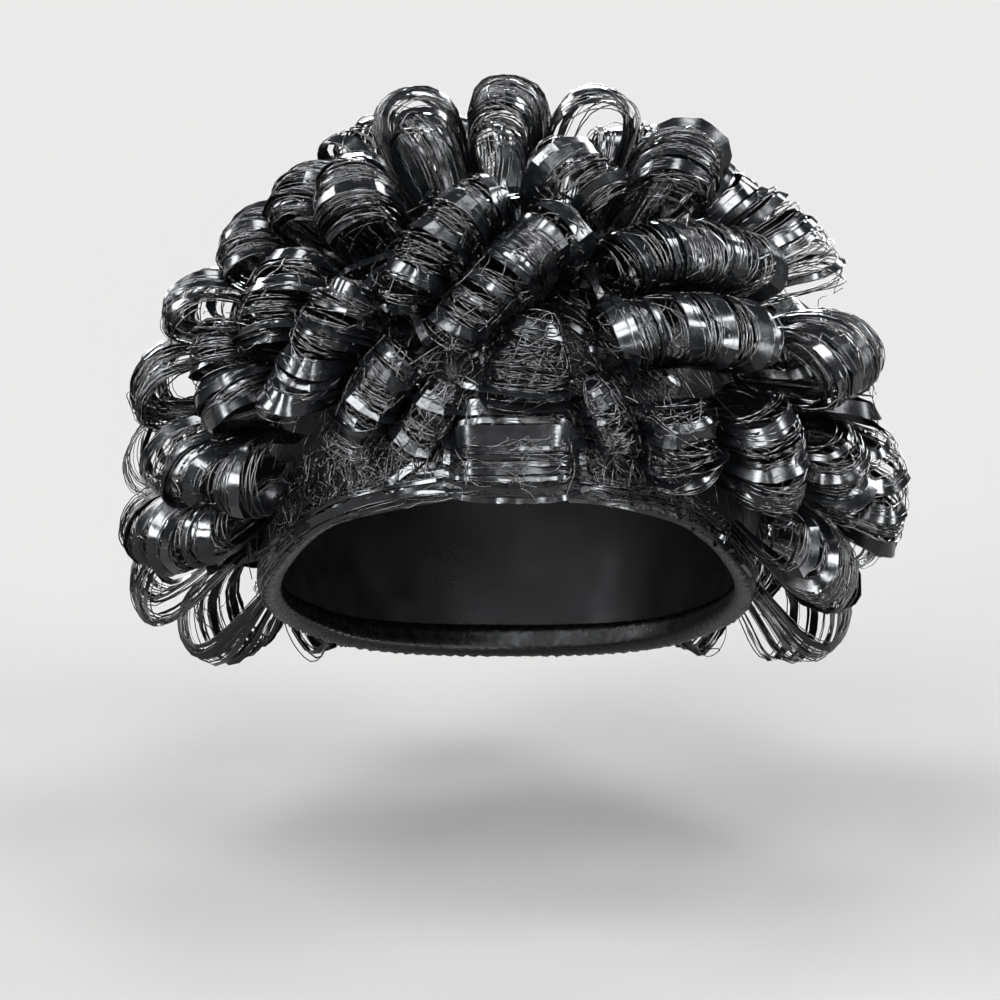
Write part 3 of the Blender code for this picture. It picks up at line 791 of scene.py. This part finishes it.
def weave_curl(curl, widths, seed):
    """All the strands of one curl."""
    rng = np.random.default_rng(seed)
    guides = Guides()
    length, girth = run_of(curl, widths)
    hidden = curl.name.startswith(HIDDEN)
    tuck = NAPE_TUCK if curl.name.startswith("nape") else 1.0
    dense = SHEER.get(curl.name, HIDDEN_SHARE if hidden else 1.0)
    if curl.name in FOIL_PLACES:
        places, breadths = zip(*FOIL_PLACES[curl.name])
    else:
        count = max(2, round(length / FOIL_PITCH))
        even = (np.arange(count) + 0.5) / count
        places = np.clip(even + rng.normal(0, FOIL_JITTER, count) / count, *FOIL_ENDS)
        thin = curl.name in SHEER or tuck < 1.0
        breadths = rng.uniform(*FOIL_BREADTH, count) * (SHEER_BREADTH if thin else 1.0)
    add_strips(guides, curl, widths, rng, places, breadths, length, girth, FOIL_LIFT * tuck)
    narrow = int(length / NARROW_PITCH * dense)
    places = rng.uniform(0.0, 1.0, narrow)
    breadths = rng.uniform(*NARROW_BREADTH, narrow)
    add_strips(guides, curl, widths, rng, places, breadths, length, girth, NARROW_LIFT * tuck)
    gauge = THREAD_RADIUS * (HIDDEN_GAUGE if hidden else 1.0)
    add_threads(guides, curl, widths, rng, THREAD_PITCH / dense, length, tuck, gauge)
    if curl.name not in SHEER:
        gauge = gauge * INNER_GAUGE
        add_threads(guides, curl, widths, rng, INNER_PITCH / dense, length, INNER_LIFT * tuck, gauge)
    add_slack(guides, curl, widths, rng, length, LOOSER.get(curl.name, dense), SLACK_LIFT * tuck)
    return guides.mesh(f"ruffle_{curl.name}")


def skin(name, rows, azimuth, run, finish):
    """A closed mesh of quads between rings of points, with its UV map in metres."""
    uv = np.stack(np.broadcast_arrays(np.radians(azimuth) * CAP_HALF[1], run), axis=-1)
    rows, uv = (np.concatenate([v, v[:1]]) for v in (rows, uv))
    height, width = rows.shape[:2]
    mesh = bpy.data.meshes.new(name)
    index = np.arange(height * width).reshape(height, width)
    beside = np.roll(index, -1, axis=1)
    quads = np.stack([index[:-1], beside[:-1], beside[1:], index[1:]], axis=-1).reshape(-1, 4)
    mesh.from_pydata(rows.reshape(-1, 3).tolist(), [], quads.tolist())
    layer = mesh.uv_layers.new(name="weave")
    layer.data.foreach_set("uv", uv.reshape(-1, 2)[quads.ravel()].astype(np.float32).ravel())
    mesh.materials.append(finish)
    mesh.shade_smooth()
    return added(name, mesh)


def fold_height(azimuth, elevation):
    """Soft folds where the stretched satin is pulled between the rows of stitching."""
    a, e = np.radians(azimuth), np.radians(elevation)
    slow = np.sin(9 * a + 4 * np.sin(3 * e)) * np.sin(7 * e + 2 * np.sin(5 * a))
    crossing = np.sin(17 * a - 13 * e + 3 * np.sin(4 * e + 2 * a))
    ridge = (1.0 - np.abs(np.sin(6.5 * a + 9 * e + 1.5 * np.sin(3 * a)))) ** 3
    return CAP_FOLD * (0.35 * slow + 0.25 * crossing + 0.9 * ridge)


def make_cap(finish):
    """The stretched cap: an outer skin with folds and a smoother lining, joined along the open edge."""
    azimuth = np.linspace(0.0, 360.0, CAP_COLUMNS, endpoint=False)[None]
    low = rim_elevation(azimuth)
    share = np.concatenate([np.linspace(0.0, 1.0, CAP_ROWS), np.linspace(1.0, 0.0, CAP_ROWS)])[:, None]
    inner = np.repeat([0.0, CAP_WALL], CAP_ROWS)[:, None]
    elevation = low + (90.0 - low) * share
    d = direction(azimuth, elevation)
    calm = np.clip((elevation - low) / HEM_RISE - CALM_HEM, 0.0, 1.0)
    calm = calm * np.clip((90.0 - elevation) / CALM_TOP, 0.0, 1.0)
    radius = cap_radius(d, inner) - np.where(inner > 0, LINING_SINK, SATIN_SINK)
    radius = radius + fold_height(azimuth, elevation) * calm * np.where(inner > 0, LINING_FOLD, 1.0)
    return skin("cap_shell", d * radius[..., None], azimuth, np.radians(elevation) * CAP_HALF[1], finish)


def hem_ripple(azimuth, along):
    """Fine slanting puckers of the hem, along being the run round its section in metres."""
    run = np.radians(azimuth) * CAP_HALF[1]
    broad = np.sin(2 * math.pi * (run + 0.7 * along) / 0.0061 + 1.7 * np.sin(run / 0.011))
    fine = np.sin(2 * math.pi * (run - 0.9 * along) / 0.0027 + 1.1 * np.sin(run / 0.007))
    uneven = np.sin(run / 0.013 + 2.2 * np.sin(run / 0.031))
    uneven = 0.55 + 0.45 * uneven * np.sin(run / 0.0078 + 60 * along)
    return HEM_PUCKER * uneven * (0.7 * broad + 0.3 * fine)


def make_hem(finish):
    """The hem folded round the cap's open edge, puckered by its seam."""
    out, wall = SEAM_GAP, SEAM_GAP + HEM_WALL
    fold = np.linspace(0.0, math.pi, 9)
    section = [(HEM_RISE, out, 0.0)] + [(HEM_RISE * k, wall * swell, 0.0) for k, swell in HEM_PROFILE]
    for turn in fold:
        side = math.cos(turn)
        section.append((-HEM_FOLD * math.sin(turn), wall * side * 1.1, CAP_WALL * (1 - side) / 2))
    section += [(HEM_INNER_RISE * k, -wall, CAP_WALL) for k in (0.25, 0.6, 1.0)]
    section += [(HEM_INNER_RISE, -out, CAP_WALL), (0.5, -out, CAP_WALL)]
    section += [(0.2, out * 0.4, 0.0), (1.0, out, 0.0)]
    rise, off, inset = (np.array(column)[:, None] for column in zip(*section))
    azimuth = np.linspace(0.0, 360.0, HEM_COLUMNS, endpoint=False)[None]
    elevation = rim_elevation(azimuth) + rise
    d = direction(azimuth, elevation)
    shown = np.where(np.abs(off) > out * 1.01, np.where(off > 0, 1.0, HEM_INNER_CALM), 0.0)
    ripple = hem_ripple(azimuth, np.radians(rise) * CAP_HALF[1])
    radius = cap_radius(d, inset) + off + np.sign(off) * shown * ripple
    steps = np.abs(np.diff(rise[:, 0])) * METRES_A_DEGREE + np.abs(np.diff(off[:, 0]))
    run = np.cumsum(np.concatenate([[0.0], steps]))[:, None]
    return skin("folded_hem", d * radius[..., None], azimuth, run, finish)


def stitch_tree():
    """Lays a small arched stitch at even steps along a seam line."""
    inputs = [("Seam", "Geometry"), ("Thread", "Material")]
    inputs += [(title, "Float") for title in ("Pitch", "Stitch Length", "Stitch Arch", "Thread Radius")]
    tree, given, made = new_tree("seam_stitches", inputs, "Stitches")
    line = add_node(tree, "GeometryNodeMeshToCurve", {"Mesh": given["Seam"]})["Curve"]
    line = {"Curve": line, "Length": given["Pitch"]}
    spaced = add_node(tree, "GeometryNodeResampleCurve", line, mode="LENGTH")["Curve"]
    arch = {"Resolution": STITCH_BENDS}
    for socket, axis, share, title in (
        ("Start", (1, 0, 0), -0.5, "Stitch Length"),
        ("End", (1, 0, 0), 0.5, "Stitch Length"),
        ("Middle", (0, 0, 1), 1.0, "Stitch Arch"),
    ):
        reach = add_node(tree, "ShaderNodeMath", {0: given[title], 1: share}, operation="MULTIPLY")
        reach = {"Vector": axis, "Scale": reach["Value"]}
        arch[socket] = add_node(tree, "ShaderNodeVectorMath", reach, operation="SCALE")["Vector"]
    arch = add_node(tree, "GeometryNodeCurveQuadraticBezier", arch)["Curve"]
    circle = {"Resolution": STITCH_SIDES, "Radius": given["Thread Radius"]}
    circle = add_node(tree, "GeometryNodeCurvePrimitiveCircle", circle)["Curve"]
    stitch = {"Curve": arch, "Profile Curve": circle, "Fill Caps": True}
    stitch = add_node(tree, "GeometryNodeCurveToMesh", stitch)["Mesh"]
    aim = {"Primary Axis": value_of(tree, "facing", "FLOAT_VECTOR")}
    aim["Secondary Axis"] = value_of(tree, "across", "FLOAT_VECTOR")
    axes = {"primary_axis": "Z", "secondary_axis": "X"}
    aim = add_node(tree, "FunctionNodeAxesToRotation", aim, **axes)["Rotation"]
    laid = {"Points": spaced, "Instance": stitch, "Rotation": aim}
    laid = add_node(tree, "GeometryNodeInstanceOnPoints", laid)["Instances"]
    real = add_node(tree, "GeometryNodeRealizeInstances", {"Geometry": laid})["Geometry"]
    painted = {"Geometry": real, "Material": given["Thread"]}
    tree.links.new(add_node(tree, "GeometryNodeSetMaterial", painted)["Geometry"], made)
    return tree


def seam_line():
    """The hem's seam as a closed line of edges, with the way out and the way across at each point."""
    azimuth = np.linspace(0.0, 360.0, HEM_COLUMNS, endpoint=False)
    d = direction(azimuth, rim_elevation(azimuth) + HEM_RISE * STITCH_RISE)
    points = d * (cap_radius(d) + (SEAM_GAP + HEM_WALL) * 1.05)[..., None]
    mesh = bpy.data.meshes.new("seam")
    count = len(points)
    mesh.from_pydata(points.tolist(), [(k, (k + 1) % count) for k in range(count)], [])
    ahead = unit(np.roll(points, -1, axis=0) - np.roll(points, 1, axis=0))
    up = unit(np.cross(d, ahead))
    lean = math.radians(STITCH_SLANT)
    keep(mesh, "facing", d)
    keep(mesh, "across", up * math.cos(lean) + ahead * math.sin(lean))
    return mesh


def on_panel(across, up, lift=0.0):
    """Points on the brow panel, from its left side to its right and from its low edge upwards."""
    azimuth = PANEL_SIDES[0] + (PANEL_SIDES[1] - PANEL_SIDES[0]) * across
    elevation = PANEL_ENDS[0] + (PANEL_ENDS[1] - PANEL_ENDS[0]) * up
    d = direction(azimuth, elevation)
    side = np.clip(2 * across - 1, -1, 1)
    crown = PANEL_CROWN * np.sin(math.pi * np.clip(across, 0, 1)) + PANEL_FLAT * (side**2 - side**6)
    rise = PANEL_LIFT[0] + (PANEL_LIFT[1] - PANEL_LIFT[0]) * up
    return d * (cap_radius(d) + rise + crown + lift)[..., None]


def panel_lines(up, lift, sag):
    """Lines across the panel, whose ends draw together at its middle height, and their places."""
    across = np.linspace(-PANEL_MARGIN, 1 + PANEL_MARGIN, PANEL_POINTS)
    edge = np.abs(2 * across - 1) ** 4
    level = np.asarray(up, float)[:, None]
    level = 0.5 + (level - 0.5) * (1.0 - PANEL_GATHER * edge) + sag
    return on_panel(across, level, lift), across


def weave_panel(seed):
    """The brow panel: level foil strips, one of them wide, over level and loose threads."""
    rng = np.random.default_rng(seed)
    guides = Guides()
    across = np.linspace(0.0, 1.0, PANEL_POINTS)
    for row in PANEL_STRIPS:
        wave = wander(rng, 1, across, STRIP_WAVE[0]) + rng.normal(0, STRIP_WAVE[1], (1, PANEL_POINTS))
        lift = row.lift + rng.normal(0, UNEVEN_LIFT[0], (1, PANEL_POINTS))
        lines, at = panel_lines([row.up], lift, wave)
        end = (2 * at - 1) ** 5
        turned = angles(lines)[0] + rng.uniform(*PANEL_TURN) * end
        raised = row.facing + PANEL_END_RISE * row.breadth * np.abs(end)
        facing = unit(direction(turned, raised) + rng.normal(0, row.tilt, lines.shape))
        guides.add(lines, facing, breadth=row.breadth)
    for count, lift in PANEL_LAYERS:
        up = np.linspace(*THREADED, count)
        wave = wander(rng, count, across, THREAD_WAVE[0])
        wave = wave + rng.normal(0, THREAD_WAVE[1], (count, 1)) * (across[None] - 0.5)
        lines = panel_lines(up, lift + wander(rng, count, across, UNEVEN_LIFT[1]), wave)[0]
        guides.add(lines, gauge=THREAD_RADIUS * rng.uniform(*PANEL_GAUGES, count))
    places = np.linspace(0.0, 1.0, SLACK_POINTS)
    x = drift(rng, PANEL_SLACK, places, *SLACK_ACROSS)
    y = drift(rng, PANEL_SLACK, places, *SLACK_UP)
    lines = on_panel(np.clip(x, -0.05, 1.05), np.clip(y, 0.02, 1.3), PANEL_SLACK_LIFT)
    guides.add(lines, gauge=THREAD_RADIUS * 0.9)
    return guides.mesh("brow_weave")


def on_mat(azimuth, rise, lift):
    """Points over the cap, rise degrees up from its open edge."""
    d = direction(azimuth, np.minimum(rim_elevation(azimuth) + rise, 89.0))
    return d * (cap_radius(d) + lift)[..., None]


def weave_mats(seed):
    """The gathered feet of the ribbon: matted strands close over the cap and along its edge."""
    rng = np.random.default_rng(seed)
    guides = Guides()
    places = np.linspace(0.0, 1.0, MAT_POINTS)
    for mat in MATS:
        azimuth = drift(rng, mat.count, places, (mat.start, mat.end), mat.run, mat.stray)
        rise = drift(rng, mat.count, places, (mat.low, mat.high), mat.climb, mat.stray)
        rise = np.clip(rise, mat.low - MAT_MARGINS[0], mat.high + MAT_MARGINS[1])
        lift = rng.uniform(mat.near, mat.far, (mat.count, 1))
        lift = np.abs(lift + wander(rng, mat.count, places, MAT_SWAY, 4))
        arched = mat.far > ARCHED_FROM
        if arched:
            lift = mat.near + (lift - mat.near) * np.sqrt(np.sin(math.pi * places))
        lines = on_mat(azimuth, rise, lift)
        strips = rng.random(mat.count) < mat.strips
        gauges = THREAD_RADIUS * rng.uniform(*MAT_GAUGES, int((~strips).sum()))
        guides.add(lines[~strips], gauge=gauges)
        if strips.any():
            facing = unit(unit(lines[strips]) + rng.normal(0, MAT_TILT, lines[strips].shape))
            breadths = ARCHED_BREADTH if arched else MAT_BREADTH
            guides.add(lines[strips], facing, breadth=rng.uniform(*breadths, len(facing)))
    return guides.mesh("gathered_feet")


def new_material(name, inputs):
    material = bpy.data.materials.new(name)
    material.use_nodes = True
    shader = material.node_tree.nodes["Principled BSDF"]
    for title, value in inputs.items():
        shader.inputs[title].default_value = value
    return material, shader


def noise_on(tree, scale, detail):
    """A noise texture that lies still on the object."""
    look = {"Vector": add_node(tree, "ShaderNodeTexCoord")["Object"], "Scale": scale, "Detail": detail}
    return add_node(tree, "ShaderNodeTexNoise", look)["Fac"]


def knit_height(tree, ribs, crossing):
    """The height of a fine slanting knit, from two sets of ribs on the piece's UV map in metres."""
    look = {"Vector": add_node(tree, "ShaderNodeUVMap", uv_map="weave")["UV"]}
    look.update({"Distortion": 1.2, "Detail": 1.0})
    level, slanting = (
        add_node(tree, "ShaderNodeTexWave", {**look, "Scale": scale}, bands_direction=bands)["Fac"]
        for bands, scale in (("Y", crossing), ("DIAGONAL", ribs))
    )
    knit = {0: level, 1: CROSSING_SHARE, 2: slanting}
    return add_node(tree, "ShaderNodeMath", knit, operation="MULTIPLY_ADD")["Value"]


def make_finish(row):
    """A finish whose colour and roughness wander between two values each, with a raised grain."""
    material, shader = new_material(row.name, {row.gloss: row.value})
    tree = material.node_tree
    ramp = tree.nodes.new("ShaderNodeValToRGB")
    for stop, place, colour in zip(ramp.color_ramp.elements, SHADE_STOPS, (row.dark, row.pale)):
        stop.position, stop.color = place, (*colour, 1)
    tree.links.new(noise_on(tree, row.tint_scale, 3.0), ramp.inputs["Fac"])
    tree.links.new(ramp.outputs["Color"], shader.inputs["Base Color"])
    fitted = {"Value": noise_on(tree, row.rough_scale, 2.0), "From Min": 0.3, "From Max": 0.7}
    fitted.update({"To Min": row.smooth, "To Max": row.rough})
    fitted = add_node(tree, "ShaderNodeMapRange", fitted)["Result"]
    tree.links.new(fitted, shader.inputs["Roughness"])
    grain = knit_height(tree, *row.grain) if row.knitted else noise_on(tree, *row.grain)
    grain = {"Height": grain, "Strength": row.strength, "Distance": row.distance}
    tree.links.new(add_node(tree, "ShaderNodeBump", grain)["Normal"], shader.inputs["Normal"])
    return material


def stand(name, data, azimuth, elevation, distance):
    """Places a light or the camera, aimed at the hat's middle."""
    made = added(name, data)
    made.location = Vector(direction(azimuth, elevation)) * distance
    made.rotation_euler = (-made.location).to_track_quat("-Z", "Y").to_euler()
    return made


def set_stage(box):
    """A pale floor, soft lights and the camera at the photograph's angle."""
    bpy.ops.mesh.primitive_plane_add(size=FLOOR_SIZE, location=(0, 0, box[0].z - FLOOR_DROP))
    floor = bpy.context.object
    floor.name = "pale_floor"
    look = {"Base Color": FLOOR_COLOUR, "Roughness": 0.9, "Specular IOR Level": 0.0}
    floor.data.materials.append(new_material("pale_floor", look)[0])
    for row in LIGHTS:
        data = bpy.data.lights.new(row.name, "SUN")
        data.energy, data.angle, data.color = row.strength, math.radians(row.spread), LIGHT_COLOUR
        stand(row.name, data, row.azimuth, row.elevation, LIGHT_DISTANCE)
    scene = bpy.context.scene
    scene.view_settings.view_transform = "Standard"
    scene.world = bpy.data.worlds.new("pale_room")
    scene.world.use_nodes = True
    room = scene.world.node_tree.nodes["Background"].inputs
    room["Color"].default_value, room["Strength"].default_value = ROOM_COLOUR, ROOM_STRENGTH
    data = bpy.data.cameras.new("camera")
    data.lens, data.sensor_width = CAMERA_LENS, SENSOR_WIDTH
    data.shift_x, data.shift_y = CAMERA_SHIFT
    scene.camera = stand("camera", data, 0.0, CAMERA_ELEVATION, CAMERA_DISTANCE)


def dress():
    """Makes every piece and the stage round them."""
    foil, thread, satin, hem = (make_finish(row) for row in (FOIL, THREAD, SATIN, HEM))
    weave = weave_tree()
    settings = {"Foil": foil, "Thread": thread, "Thread Sides": THREAD_SIDES}
    settings.update({"Foil Thinness": FOIL_THINNESS, "Crease Angle": CREASE_ANGLE})
    curls = list(CURLS) + block_curls()
    for seed, (curl, widths) in enumerate(zip(curls, room_for(curls))):
        piece = grown(f"ruffle_{curl.name}", weave_curl(curl, widths, seed), weave, settings)
        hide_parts(f"curl_{curl.name}")
        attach(piece, "root")
    seam = {"Pitch": STITCH_PITCH, "Stitch Length": STITCH_LENGTH, "Stitch Arch": STITCH_ARCH}
    seam.update({"Thread Radius": STITCH_RADIUS, "Thread": thread})
    stitches = grown("hem_stitches", seam_line(), stitch_tree(), seam)
    for piece, nodes, slot in (
        (make_cap(satin), ("crown_cap",), "cap_satin"),
        (make_hem(hem), ("rim_band",), "hem_knit"),
        (stitches, (), "hem_knit"),
        (grown("brow_weave", weave_panel(900), weave, settings), ("brow_panel",), "mesh_ribbon"),
        (grown("gathered_feet", weave_mats(901), weave, settings), (), "mesh_ribbon"),
    ):
        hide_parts(*nodes)
        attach(piece, "root")
    set_stage(cad_box)


dress()
